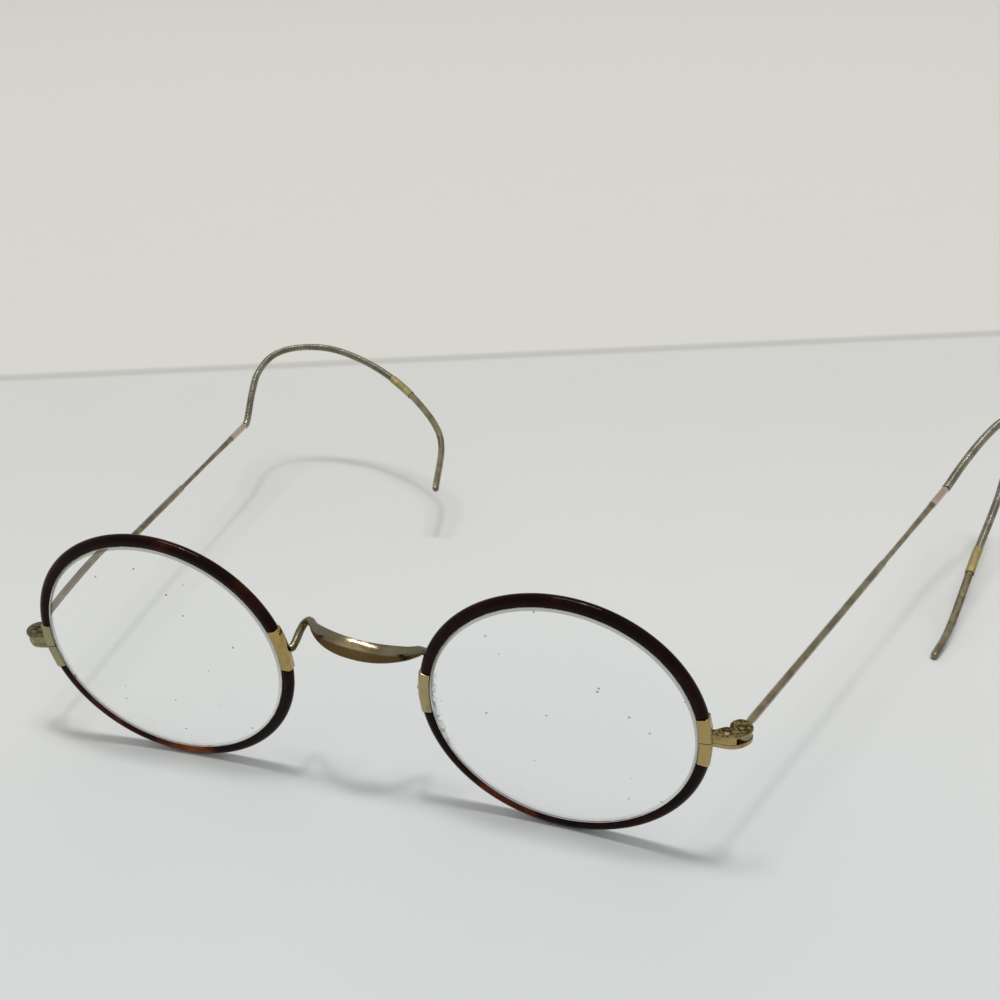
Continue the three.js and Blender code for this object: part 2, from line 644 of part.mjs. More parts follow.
function addEye(front, side) {
  const sign = side === "left" ? -1 : 1;
  const settled = new THREE.Group();
  settled.position.x = (sign * LENS_SPACING) / 2;
  settled.rotation.set(radians(EYE_TILT), -radians(EYE_TURN[side]), -sign * radians(EYE_SWING), "ZXY");
  front.add(settled);
  const eye = new THREE.Group();
  eye.scale.x = sign;
  settled.add(eye);

  const gap = THREE.MathUtils.radToDeg(COVER_END_GAP / collarOuter);
  const temporal = TEMPORAL_COLLAR_ARC + gap;
  const nasal = NASAL_COLLAR_ARC + gap;
  addPiece(eye, side + "_lens", lensGeometry(), material.glass);
  addPiece(eye, side + "_eyewire", eyewireGeometry(), material.gold);
  const nasalAngle = 180 - riseAngle;
  const upperCover = coverGeometry(riseAngle + temporal, nasalAngle - nasal);
  addPiece(eye, side + "_upper_rim_cover", upperCover, material.shell);
  const lowerCover = coverGeometry(nasalAngle + nasal, riseAngle + 360 - temporal);
  addPiece(eye, side + "_lower_rim_cover", lowerCover, material.shell);
  const collar = collarGeometry(nasalAngle - NASAL_COLLAR_ARC, nasalAngle + NASAL_COLLAR_ARC);
  addPiece(eye, side + "_nasal_collar", collar, material.gold);
  addPiece(eye, side + "_upper_endpiece", upperEndpieceGeometry(), material.gold);
  addPiece(eye, side + "_lower_endpiece", lowerEndpieceGeometry(), material.gold);
  const closingSeat = leafTop - CLOSING_HEAD_HEIGHT + SEAT_GAP;
  const closingScrew = screwGeometry(closing, CLOSING_HEAD_RADIUS, closingSeat, CLOSING_HEAD_HEIGHT);
  addPiece(eye, side + "_closing_screw", closingScrew, material.worn);
  const hingeSeat = leafTop - HEAD_SINK + SEAT_GAP;
  const hingeScrew = screwGeometry(hinge, HINGE_HEAD_RADIUS, hingeSeat, HINGE_HEAD_HEIGHT);
  addPiece(eye, side + "_hinge_screw", hingeScrew, material.worn);
  addTemple(eye, side);

  settled.updateWorldMatrix(true, true);
  const middle = COLLAR_CHAMFER / 2;
  const foot = new THREE.Vector3(middle - collarOuter, COLLAR_DEPTH / 2 - middle, COLLAR_RISE - BRIDGE_FOOT_DROP);
  const out = new THREE.Vector3(-1, 1, 0).transformDirection(eye.matrixWorld);
  return { point: eye.localToWorld(foot), out };
}

// The part stands on both rims and the right tip, with the middle of its footprint at the origin.
const eyeglasses = new THREE.Group();
const front = new THREE.Group();
const ends = { left: addEye(front, "left"), right: addEye(front, "right") };
addPiece(front, "bridge", bridgeGeometry(ends), material.gold);
const box = new THREE.Box3().setFromObject(front, true);
front.position.set(-(box.min.x + box.max.x) / 2, -(box.min.y + box.max.y) / 2, -box.min.z);
eyeglasses.add(front);

export default eyeglasses;
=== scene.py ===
# Round eyeglasses: finer lenses, rim covers and wound cables, with materials, light and camera.
import math

import bmesh
import bpy
import numpy as np
from mathutils import Matrix, Vector


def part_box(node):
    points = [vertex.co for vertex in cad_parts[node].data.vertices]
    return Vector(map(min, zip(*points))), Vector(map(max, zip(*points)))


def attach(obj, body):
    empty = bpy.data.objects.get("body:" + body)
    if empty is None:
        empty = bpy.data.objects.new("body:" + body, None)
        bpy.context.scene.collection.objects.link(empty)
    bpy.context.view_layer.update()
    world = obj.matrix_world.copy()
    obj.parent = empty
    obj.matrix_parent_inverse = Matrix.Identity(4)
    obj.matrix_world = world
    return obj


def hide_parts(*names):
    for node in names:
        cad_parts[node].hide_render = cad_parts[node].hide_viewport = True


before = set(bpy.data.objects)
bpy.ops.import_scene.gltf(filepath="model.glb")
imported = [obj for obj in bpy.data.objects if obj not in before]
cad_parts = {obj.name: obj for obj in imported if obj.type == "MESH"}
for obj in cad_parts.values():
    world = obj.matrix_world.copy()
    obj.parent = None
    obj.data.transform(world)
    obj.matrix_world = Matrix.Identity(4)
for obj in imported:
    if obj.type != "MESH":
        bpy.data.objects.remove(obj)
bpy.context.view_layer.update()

MM = 0.001
SIDES = ("left", "right")
UP = Vector((0, 0, 1))

# Camera, from the point midway between the lens centres, with angles in radians and the lens in mm.
CAMERA_PLACE = Vector((61.395, -122.465, 106.866)) * MM
CAMERA_AZIMUTH = 0.29653
CAMERA_ELEVATION = 0.51125
CAMERA_ROLL = -0.02518
CAMERA_LENS = 40.286
SENSOR_WIDTH = 36
CLIP_START = 5 * MM

# Eyes, in mm and degrees.
LENS_RADIUS = 20
LENS_EDGE = 1.4
LENS_FRONT_CURVE = 92
LENS_BACK_CURVE = 180
BEVEL_HEIGHT = 0.3
BEVEL_WIDTH = 0.6
CHANNEL_RADIUS = 20.85
CHANNEL_HALF = 0.6
COVER_LIP = 20.15
COVER_LIP_THICKNESS = 0.12
COVER_WALL = 1.03
COVER_DEPTH = 1.75
COLLAR_OUTER = 21.97
COLLAR_RISE = 0.9
COVER_END_GAP = 0.1
TEMPORAL_ARC = 11.4
NASAL_ARC = 10.2
EYE_TILT = 2.64
EYE_SWING = 1.98
EYE_TURN = {"left": 8.1, "right": 1.3}

# Temples, in mm and degrees.
HINGE = Vector((25.47, 2.25, 1.39))
CABLE_START = 82.2
TEMPLE_SPLAY = {"left": 1.79, "right": 19.47}
TEMPLE_PITCH = {"left": -2.89, "right": -1.82}
SEAT_GAP = 0.05
CURL_LEAD = 1.2
TAIL_LENGTH = {"left": 33.5, "right": 25.7}
WINDING_RADIUS = 0.8
WIRE_RADIUS = 0.17
WIRE_PITCH = 0.36
CURL = {
    "left": [
        (0, 7.6, 5),
        (0, 12.5, 7.8),
        (-2, 17.4, 10),
        (-5.6, 20.2, 10.6),
        (-14.7, 22.5, 9.2),
        (-27.3, 19.7, 4.2),
        (-39.4, 11.7, -3),
        (-44.9, 4.5, -7.8),
        (-46.4, -9.2, -14),
    ],
    "right": [
        (0.4, 7.2, 1.9),
        (1.3, 16.4, 4.2),
        (2.3, 22.8, 5.2),
        (2.8, 29.9, 2.9),
        (3.3, 32.3, -2.9),
        (3.7, 29.9, -8.7),
        (4.5, 24.4, -11.7),
        (6.1, 7.2, -17),
        (8, -11.5, -23.3),
        (7.9, -18.1, -24.68),
    ],
}


def middle_of(node):
    low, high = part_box(node)
    return (low + high) / 2


lens_centre = {side: middle_of(side + "_eyewire") for side in SIDES}
between_eyes = (lens_centre["left"] + lens_centre["right"]) / 2
saddle_middle = between_eyes + Vector((0, -8.4, 6.5)) * MM


def add_object(name, data):
    made = bpy.data.objects.new(name, data)
    bpy.context.scene.collection.objects.link(made)
    return made


# Camera
def add_camera():
    flat = math.cos(CAMERA_ELEVATION)
    back = Vector(
        (
            math.sin(CAMERA_AZIMUTH) * flat,
            -math.cos(CAMERA_AZIMUTH) * flat,
            math.sin(CAMERA_ELEVATION),
        )
    )
    right = (-back).cross(UP).normalized()
    up = right.cross(-back)
    cos_roll = math.cos(CAMERA_ROLL)
    sin_roll = math.sin(CAMERA_ROLL)
    across = right * cos_roll + up * sin_roll
    upright = up * cos_roll - right * sin_roll
    data = bpy.data.cameras.new("camera")
    data.sensor_width = SENSOR_WIDTH
    data.lens = CAMERA_LENS
    data.clip_start = CLIP_START
    camera = add_object("camera", data)
    turn = Matrix((across, upright, back)).transposed().to_4x4()
    camera.matrix_world = Matrix.Translation(between_eyes + CAMERA_PLACE) @ turn
    bpy.context.scene.camera = camera


add_camera()


# Node trees
class Nodes:
    """The node tree of a material or a world, with short calls for the nodes used here."""

    def __init__(self, owner):
        owner.use_nodes = True
        self.tree = owner.node_tree
        self.tree.nodes.clear()

    def add(self, kind, settings=None, **inputs):
        node = self.tree.nodes.new(kind)
        for key, value in (settings or {}).items():
            setattr(node, key, value)
        for key, value in inputs.items():
            self.feed(node.inputs[key.replace("_", " ")], value)
        return node

    def join(self, output, socket):
        self.tree.links.new(output, socket)

    def feed(self, socket, value):
        """Joins an output to the socket, or sets the socket's own number, vector or opaque colour."""
        if isinstance(value, bpy.types.NodeSocket):
            self.join(value, socket)
        elif socket.type == "RGBA":
            socket.default_value = (*value, 1)
        else:
            socket.default_value = value

    def math(self, operation, first, second=0.0, third=0.0):
        node = self.add("ShaderNodeMath", {"operation": operation})
        for socket, value in zip(node.inputs, (first, second, third)):
            self.feed(socket, value)
        return node.outputs["Value"]

    def range(self, value, low, high, first=0.0, last=1.0, course="SMOOTHSTEP"):
        """First where the value is low and last where it is high, with no step between."""
        node = self.add(
            "ShaderNodeMapRange",
            {"interpolation_type": course},
            Value=value,
            From_Min=low,
            From_Max=high,
            To_Min=first,
            To_Max=last,
        )
        return node.outputs["Result"]


class Shader(Nodes):
    """A material with one Principled shader, and the patterns that feed it."""

    CREVICE_SAMPLES = 6

    def __init__(self, name):
        self.material = bpy.data.materials.new(name)
        super().__init__(self.material)
        self.output = self.add("ShaderNodeOutputMaterial")
        self.body = self.add("ShaderNodeBsdfPrincipled")
        self.join(self.body.outputs["BSDF"], self.output.inputs["Surface"])
        self.place = self.add("ShaderNodeTexCoord").outputs["Object"]

    def set(self, **inputs):
        for key, value in inputs.items():
            self.feed(self.body.inputs[key.replace("_", " ")], value)

    def noise(self, scale, detail=3.0, rough=0.55, twist=0.0, place=None):
        node = self.add(
            "ShaderNodeTexNoise",
            Vector=place or self.place,
            Scale=scale,
            Detail=detail,
            Roughness=rough,
            Distortion=twist,
        )
        return node.outputs["Fac"]

    def stretched(self, scale):
        return self.add("ShaderNodeMapping", Vector=self.place, Scale=scale).outputs["Vector"]

    def ramp(self, value, stops):
        node = self.add("ShaderNodeValToRGB", Fac=value)
        elements = node.color_ramp.elements
        while len(elements) < len(stops):
            elements.new(0.5)
        for element, (spot, colour) in zip(elements, stops):
            element.position = spot
            element.color = (*colour, 1)
        return node.outputs["Color"]

    def mix(self, share, first, second):
        node = self.add("ShaderNodeMix", {"data_type": "RGBA"}, Factor=share)
        colours = [socket for socket in node.inputs if socket.type == "RGBA"]
        for socket, value in zip(colours, (first, second)):
            self.feed(socket, value)
        return next(socket for socket in node.outputs if socket.type == "RGBA")

    def vector_math(self, operation, first, second):
        node = self.add("ShaderNodeVectorMath", {"operation": operation})
        self.feed(node.inputs[0], first)
        self.feed(node.inputs[1], second)
        return node.outputs["Value"]

    def distance(self, centre):
        return self.vector_math("DISTANCE", self.place, centre)

    def spot(self, centre, inner, outer):
        """1 within the inner distance of a place on the object, fading to 0 at the outer one."""
        return self.range(self.distance(centre), inner, outer, first=1.0, last=0.0)

    def from_lens(self):
        """Distance from the centre of the nearer lens."""
        return self.math("MINIMUM", *[self.distance(centre) for centre in lens_centre.values()])

    def facing(self, direction):
        """1 on faces turned to a direction, 0 on those at right angles to it."""
        normal = self.add("ShaderNodeNewGeometry").outputs["Normal"]
        return self.vector_math("DOT_PRODUCT", normal, direction)

    def bump(self, height, distance, strength):
        node = self.add("ShaderNodeBump", Height=height, Distance=distance, Strength=strength)
        self.set(Normal=node.outputs["Normal"])

    def crevice(self, distance):
        """1 on open faces, and less where other faces stand within a distance."""
        node = self.add("ShaderNodeAmbientOcclusion", {"samples": self.CREVICE_SAMPLES}, Distance=distance)
        return node.outputs["AO"]


# Rim covers, with the amber spots' eye, place from its centre, inner and outer reach in mm, and weight.
AMBER_SPOTS = (
    ("left", (0, 0, -21), 1, 9, 0.42),
    ("left", (-15, 0, -15), 5, 14, 0.19),
    ("right", (-10, 0, -19), 2, 12, 0.26),
)
SHELL_COLOURS = (
    (0.42, (0.004, 0.0008, 0.0006)),
    (0.55, (0.009, 0.0014, 0.001)),
    (0.66, (0.028, 0.0045, 0.0025)),
    (0.80, (0.12, 0.022, 0.007)),
    (0.95, (0.26, 0.07, 0.015)),
)
MOTTLE_WEIGHT = 0.8
FLECK_WEIGHT = 0.22
SHELL_IOR = 1.5
SHELL_SPECULAR = 0.1
SHELL_TINT = (1.0, 0.75, 0.7)
SHELL_RELIEF = 0.02 * MM


def tortoiseshell():
    s = Shader("tortoiseshell")
    shade = 0.0
    for side, place, inner, outer, weight in AMBER_SPOTS:
        amber = s.spot(lens_centre[side] + Vector(place) * MM, inner * MM, outer * MM)
        shade = s.math("MULTIPLY_ADD", amber, weight, shade)
    mottle = s.noise(scale=110, detail=4, rough=0.6, twist=0.8)
    shade = s.math("MULTIPLY_ADD", mottle, MOTTLE_WEIGHT, shade)
    flecks = s.noise(scale=520, rough=0.6)
    shade = s.math("MULTIPLY_ADD", flecks, FLECK_WEIGHT, shade)
    s.set(
        Base_Color=s.ramp(shade, SHELL_COLOURS),
        Roughness=s.range(s.noise(scale=900, detail=4), 0.3, 0.75, first=0.04, last=0.09),
        IOR=SHELL_IOR,
        Specular_IOR_Level=SHELL_SPECULAR,
        Specular_Tint=SHELL_TINT,
    )
    s.bump(s.noise(scale=260, detail=2), SHELL_RELIEF, strength=0.5)
    return s.material


# Metals
SADDLE_UNDER = Vector((0, -0.74, -0.67))
SADDLE_HALF = 7.5 * MM
ARM_START = 9.5 * MM
ARM_COLOUR = (0.20, 0.18, 0.115)
COLLAR_EDGE = 21.6 * MM
COLLAR_FADE = 0.3 * MM
COLLAR_CLEANED = 0.8
CREVICE_REACH = 0.5 * MM
CREVICE_DARKNESS = 0.9
SMOOTHER = 0.07
ROUGHER = 0.09
TARNISH_ROUGHNESS = 0.2
TARNISH_DEPTH = 1.2
METAL_RELIEF = 0.012 * MM
EVEN_GRAIN = (900, 900, 900)
LONG_GRAIN = (4000, 250, 4000)


def bridge_painted_shade(s):
    """Painted shade: dark on the lower side of the saddle, the side turned forward and down."""
    return s.range(s.facing(SADDLE_UNDER), -0.02, 0.06, last=0.9)


def bridge_tint(s, base):
    """Dull and greyer from the ends of the saddle to the arms."""
    return s.mix(s.range(s.distance(saddle_middle), SADDLE_HALF, ARM_START), base, ARM_COLOUR)


def endpiece_pits_and_shade(s):
    """Dark on top of the hinge leaves: partly painted shade, partly mottled pitting."""
    mottle = s.range(s.noise(scale=2200, rough=0.7), 0.42, 0.58, first=0.4)
    return s.math("MULTIPLY", s.range(s.facing(UP), 0.6, 0.85), mottle)


def metal(
    name,
    base,
    dark,
    tarnish,
    roughness,
    grain=EVEN_GRAIN,
    pits=0.0,
    scale=320.0,
    kept=None,
    shade_and_wear=None,
    tint=None,
):
    """Worn gilt metal: the base colour, darker tarnish in patches, darker metal in crevices, and fine
    scratches.

    Where a clean colour is kept, the metal within reach of the lens centres has it and little tarnish.
    Where given, a further share of dark metal on some faces: painted shade on faces turned one way, with
    pitting on the hinge leaves.
    The tint, where given, changes the base colour along the piece.
    """
    s = Shader(name)
    if tint:
        base = tint(s, base)
    patches = s.range(s.noise(scale, detail=5, rough=0.62, twist=0.4), 0.36, 0.66)
    share = s.math("MULTIPLY", patches, tarnish)
    if pits:
        spots = s.range(s.noise(scale=2600, rough=0.7), 0.5, 0.6)
        share = s.math("MAXIMUM", share, s.math("MULTIPLY", spots, pits))
    # Painted shade on faces turned one way, with pitting on the hinge leaves
    if shade_and_wear:
        share = s.math("MAXIMUM", share, shade_and_wear(s))
    if kept:
        clean = s.range(s.from_lens(), COLLAR_EDGE, COLLAR_EDGE + COLLAR_FADE, first=1.0, last=0.0)
        base = s.mix(clean, base, kept)
        share = s.math("MULTIPLY", share, s.math("MULTIPLY_ADD", clean, -COLLAR_CLEANED, 1.0))
    # Darker where other faces stand within reach
    crevice_dark = s.range(s.crevice(CREVICE_REACH), 0.2, 0.8, first=CREVICE_DARKNESS, last=0.0)
    share = s.math("MAXIMUM", share, crevice_dark)
    scratches = s.noise(scale=1.0, detail=4, rough=0.6, place=s.stretched(grain))
    polish = s.range(scratches, 0.3, 0.7, first=roughness - SMOOTHER, last=roughness + ROUGHER)
    s.set(
        Base_Color=s.mix(share, base, dark),
        Metallic=1.0,
        Roughness=s.math("MULTIPLY_ADD", share, TARNISH_ROUGHNESS, polish),
    )
    s.bump(s.math("MULTIPLY_ADD", share, -TARNISH_DEPTH, scratches), METAL_RELIEF, strength=0.6)
    return s.material


# Lenses
DUST_SCALE = 420.0
DUST_CORE = 0.06
DUST_EDGE = 0.10
DUST_THRESHOLD = 0.84
# A grey line inside the lens edge: painted reflection of the edge, faint low down and clear towards the top
GROUND_EDGE = 19.55 * MM
GROUND_FADE = 0.12 * MM
GROUND_FAINT = -12 * MM
GROUND_CLEAR = 4 * MM
# A painted dark reflection of the eyewire's groove, by the bridge
GROOVE_REFLECTION_PLACE = Vector((-19.5, 0, -3)) * MM
GROOVE_REFLECTION_CORE = 5 * MM
GROOVE_REFLECTION_EDGE = 9 * MM
GROOVE_REFLECTION_WIDTH = 0.9 * MM
GLASS_COLOUR = (0.995, 1.0, 0.995)
DUST_AND_REFLECTION_GREY = (0.16, 0.16, 0.13)
GLASS_PASSED = (0.95, 0.955, 0.95)
GLASS_IOR = 1.52


def clear_glass():
    """Clear glass with dust, a grey line by its edge that is painted reflection clearest at the top, and a
    painted dark reflection by the bridge.

    It lets the lamps' light through, and lets out light that its own faces reflect.
    """
    s = Shader("lens_glass")
    centre = lens_centre["right"]
    cells = s.add("ShaderNodeTexVoronoi", Vector=s.place, Scale=DUST_SCALE)
    chosen = s.add("ShaderNodeSeparateColor", Color=cells.outputs["Color"])
    speck = s.range(cells.outputs["Distance"], DUST_CORE, DUST_EDGE, first=1.0, last=0.0)
    dust = s.math("MULTIPLY", speck, s.math("GREATER_THAN", chosen.outputs["Red"], DUST_THRESHOLD))
    out = s.from_lens()
    height = s.add("ShaderNodeSeparateXYZ", Vector=s.place).outputs["Z"]
    # Painted reflection of the lens edge, clearer towards the top
    shown = s.range(height, centre.z + GROUND_FAINT, centre.z + GROUND_CLEAR, first=0.3, last=0.85)
    edge_reflection = s.math("MULTIPLY", s.range(out, GROUND_EDGE, GROUND_EDGE + GROUND_FADE), shown)
    # Painted dark reflection of the eyewire's groove, by the bridge
    beside = s.spot(centre + GROOVE_REFLECTION_PLACE, GROOVE_REFLECTION_CORE, GROOVE_REFLECTION_EDGE)
    reflected_groove = s.math("MULTIPLY", beside, s.range(s.noise(scale=1500, rough=0.7), 0.45, 0.6))
    reflected_groove = s.math("MULTIPLY", reflected_groove, s.range(out, GROUND_EDGE - GROOVE_REFLECTION_WIDTH, GROUND_EDGE, last=0.9))
    # Real dust, together with the painted reflections near the edge
    dust_and_reflections = s.math("MAXIMUM", s.math("MAXIMUM", dust, reflected_groove), edge_reflection)
    s.set(
        Base_Color=s.mix(dust_and_reflections, GLASS_COLOUR, DUST_AND_REFLECTION_GREY),
        Roughness=s.range(s.noise(scale=160, detail=4, rough=0.6, twist=0.5), 0.45, 0.8, last=0.02),
        IOR=GLASS_IOR,
        Transmission_Weight=1.0,
    )
    path = s.add("ShaderNodeLightPath")
    through = s.add("ShaderNodeBsdfTransparent", Color=GLASS_PASSED)
    surface = s.body.outputs["BSDF"]
    for ray in ("Is Shadow Ray", "Is Reflection Ray"):
        either = s.add("ShaderNodeMixShader")
        s.join(path.outputs[ray], either.inputs[0])
        s.join(surface, either.inputs[1])
        s.join(through.outputs["BSDF"], either.inputs[2])
        surface = either.outputs["Shader"]
    s.join(surface, s.output.inputs["Surface"])
    return s.material


# All finishes by name
PALE_GOLD = (0.46, 0.33, 0.13)
# The tops of the hinge leaves get painted shade with mottled pitting
ENDPIECE = dict(dark=(0.055, 0.042, 0.015), tarnish=0.4, roughness=0.12, shade_and_wear=endpiece_pits_and_shade)
METALS = {
    "gold": dict(base=PALE_GOLD, dark=(0.12, 0.09, 0.035), tarnish=0.35, roughness=0.14),
    "worn_gold": dict(base=(0.40, 0.33, 0.17), dark=(0.10, 0.085, 0.045), tarnish=0.5, roughness=0.1),
    # The eyewire's dark gilt: partly tarnish, partly painted shade inside the rim
    "eyewire_gold": dict(base=(0.26, 0.22, 0.13), dark=(0.04, 0.035, 0.025), tarnish=0.8, roughness=0.3),
    "bridge_gold": dict(
        base=(0.50, 0.38, 0.20),
        dark=(0.10, 0.058, 0.016),
        tarnish=0.4,
        roughness=0.1,
        scale=260.0,
        # Painted shade on the saddle's lower side
        shade_and_wear=bridge_painted_shade,
        tint=bridge_tint,
    ),
    "endpiece_gold": dict(ENDPIECE, base=(0.42, 0.32, 0.14), kept=PALE_GOLD),
    "dull_endpiece_gold": dict(ENDPIECE, base=(0.30, 0.27, 0.13), kept=(0.33, 0.30, 0.17)),
    "screw_metal": dict(
        base=(0.17, 0.14, 0.065),
        dark=(0.045, 0.038, 0.02),
        tarnish=0.6,
        roughness=0.25,
        pits=0.5,
    ),
    "temple_metal": dict(
        base=(0.30, 0.255, 0.165),
        dark=(0.05, 0.045, 0.03),
        tarnish=0.55,
        roughness=0.1,
        grain=LONG_GRAIN,
    ),
    "ferrule_metal": dict(base=(0.60, 0.49, 0.41), dark=(0.20, 0.16, 0.10), tarnish=0.3, roughness=0.08),
    "sleeve_gold": dict(base=(0.46, 0.38, 0.17), dark=(0.13, 0.10, 0.04), tarnish=0.4, roughness=0.14),
    "cable_wire": dict(base=(0.36, 0.335, 0.26), dark=(0.09, 0.085, 0.065), tarnish=0.5, roughness=0.2),
}
finish = {"lens_glass": clear_glass(), "tortoiseshell": tortoiseshell()}
for name, look in METALS.items():
    finish[name] = metal(name, **look)


# Finer meshes, drawn in mm in the frame of an eye or of a cable
def turn_about(degrees, axis):
    return Matrix.Rotation(math.radians(degrees), 4, axis)


def eye_frame(side):
    sign = -1 if side == "left" else 1
    swing = turn_about(-sign * EYE_SWING, "Z")
    tilt = turn_about(EYE_TILT, "X")
    settled = swing @ tilt @ turn_about(-EYE_TURN[side], "Y")
    mirrored = Matrix.Diagonal((sign, 1, 1, 1))
    return Matrix.Translation(lens_centre[side]) @ settled @ mirrored @ Matrix.Scale(MM, 4)


def cable_frame(side):
    splay = turn_about(-TEMPLE_SPLAY[side], "Z")
    pitch = turn_about(TEMPLE_PITCH[side], "X")
    reach = Matrix.Translation((0, CABLE_START, 0))
    return eye_frame(side) @ Matrix.Translation(HINGE) @ splay @ pitch @ reach


def add_piece(name, points, faces, matrix, body, node, slot, sharp_angle):
    mesh = bpy.data.meshes.new(name)
    mesh.from_pydata([matrix @ Vector(p) for p in points], [], faces)
    shape = bmesh.new()
    shape.from_mesh(mesh)
    bmesh.ops.recalc_face_normals(shape, faces=shape.faces)
    shape.to_mesh(mesh)
    shape.free()
    mesh.shade_smooth()
    mesh.set_sharp_from_angle(angle=math.radians(sharp_angle))
    mesh.materials.append(finish[slot])
    piece = add_object(name, mesh)
    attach(piece, body)
    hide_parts(node)


def tube_faces(rings, sides, closed=True):
    """Quads between rings of points that close on themselves, and for a closed tube a face over each end."""
    faces = []
    for ring in range(rings - 1):
        for i in range(sides):
            a = ring * sides + i
            b = ring * sides + (i + 1) % sides
            faces.append((a, b, b + sides, a + sides))
    if closed:
        faces.append(tuple(range(sides)))
        faces.append(tuple(range((rings - 1) * sides, rings * sides)))
    return faces


LENS_RINGS = 16
LENS_SIDES = 144
LENS_SHARP = 30


def sag(curve, radius):
    return curve - math.sqrt(curve * curve - radius * radius)


def add_lens(side):
    half = LENS_EDGE / 2
    front_middle = -half - sag(LENS_FRONT_CURVE, LENS_RADIUS)
    back_middle = half - sag(LENS_BACK_CURVE, LENS_RADIUS)
    radii = [LENS_RADIUS * (i + 1) / LENS_RINGS for i in range(LENS_RINGS)]
    profile = [(r, front_middle + sag(LENS_FRONT_CURVE, r)) for r in radii]
    profile += [
        (LENS_RADIUS, -BEVEL_WIDTH / 2),
        (LENS_RADIUS + BEVEL_HEIGHT, 0),
        (LENS_RADIUS, BEVEL_WIDTH / 2),
    ]
    profile += [(r, back_middle + sag(LENS_BACK_CURVE, r)) for r in reversed(radii)]
    points = []
    for r, depth in profile:
        for i in range(LENS_SIDES):
            a = 2 * math.pi * i / LENS_SIDES
            points.append((r * math.cos(a), depth, r * math.sin(a)))
    faces = tube_faces(len(profile), LENS_SIDES, closed=False)
    last = len(points) - LENS_SIDES
    points += [(0, front_middle, 0), (0, back_middle, 0)]
    for i in range(LENS_SIDES):
        following = (i + 1) % LENS_SIDES
        faces.append((i, following, len(points) - 2))
        faces.append((last + i, last + following, len(points) - 1))
    name = side + "_lens"
    add_piece(name + "_glass", points, faces, eye_frame(side), "front", name, "lens_glass", LENS_SHARP)


COVER_STEP = 2
COVER_ROUND = 20
COVER_SHARP = 42
END_ROUND = 0.35
END_DROP = 0.14
END_STEPS = (0, 0.06, 0.14, 0.24, END_ROUND)


def add_cover(side, which, first, last):
    """A sleeve over the eyewire from the first angle to the last, a little rounded at its ends."""
    lip = CHANNEL_HALF + COVER_LIP_THICKNESS
    inside = [
        (COVER_LIP, lip),
        (COVER_LIP, CHANNEL_HALF),
        (CHANNEL_RADIUS, CHANNEL_HALF),
        (CHANNEL_RADIUS, -CHANNEL_HALF),
        (COVER_LIP, -CHANNEL_HALF),
        (COVER_LIP, -lip),
    ]
    near = np.degrees(np.array(END_STEPS) / CHANNEL_RADIUS)
    inner_angles = np.linspace(first + near[-1], last - near[-1], int((last - first) / COVER_STEP))
    angles = [*(first + near[:-1]), *inner_angles, *(last - near[-2::-1])]
    points = []
    for angle in angles:
        from_end = math.radians(min(angle - first, last - angle)) * CHANNEL_RADIUS
        missing = max(0.0, 1 - from_end / END_ROUND)
        size = 1 - END_DROP * (1 - math.sqrt(1 - missing * missing))
        cosine = math.cos(math.radians(angle))
        sine = math.sin(math.radians(angle))
        section = list(inside)
        for i in range(COVER_ROUND + 1):
            a = math.pi * (i / COVER_ROUND - 0.5)
            depth = COVER_DEPTH / 2 * math.sin(a) * size
            section.append((CHANNEL_RADIUS + COVER_WALL * math.cos(a) * size, depth))
        points += [(r * cosine, depth, r * sine) for r, depth in section]
    sides = len(inside) + COVER_ROUND + 1
    faces = tube_faces(len(angles), sides)
    name = f"{side}_{which}_rim_cover"
    add_piece(name + "_shell", points, faces, eye_frame(side), "front", name, "tortoiseshell", COVER_SHARP)


CURVE_STEPS = 200
TURN_STEPS = 14
FREE_START = 2 * TURN_STEPS // 3
FREE_END = 2
WIRE_SIDES = 6
WIRE_SHARP = 80


def cable_path(side, step):
    """The middle line of a cable: a centripetal curve through its bends, in equal steps."""
    bends = np.array([(0, SEAT_GAP, 0), (0, CURL_LEAD, 0), *CURL[side]], float)
    bends = np.vstack([2 * bends[0] - bends[1], bends, 2 * bends[-1] - bends[-2]])
    t = np.linspace(0, 1, CURVE_STEPS, endpoint=False)[:, None]
    line = []
    for p0, p1, p2, p3 in zip(bends, bends[1:], bends[2:], bends[3:]):
        d0, d1, d2 = (np.linalg.norm(b - a) ** 0.5 for a, b in ((p0, p1), (p1, p2), (p2, p3)))
        out = ((p1 - p0) / d0 - (p2 - p0) / (d0 + d1) + (p2 - p1) / d1) * d1
        into = ((p2 - p1) / d1 - (p3 - p1) / (d1 + d2) + (p3 - p2) / d2) * d1
        squared = 3 * (p2 - p1) - 2 * out - into
        cubed = 2 * (p1 - p2) + out + into
        line.append(p1 + out * t + squared * t**2 + cubed * t**3)
    line = np.vstack([*line, bends[-2]])
    along = np.concatenate([[0], np.cumsum(np.linalg.norm(np.diff(line, axis=0), axis=1))])
    stops = np.arange(0, along[-1] - TAIL_LENGTH[side], step)
    return np.stack([np.interp(stops, along, line[:, i]) for i in range(3)], 1)


def tangents_of(line):
    tangents = np.gradient(line, axis=0)
    return tangents / np.linalg.norm(tangents, axis=1)[:, None]


def carried_normals(tangents):
    """Normals that are carried along a line without twist."""
    normal = np.cross(tangents[0], (1.0, 0.0, 0.0))
    normals = []
    for tangent in tangents:
        normal = normal - tangent * normal.dot(tangent)
        normal = normal / np.linalg.norm(normal)
        normals.append(normal)
    return np.array(normals)


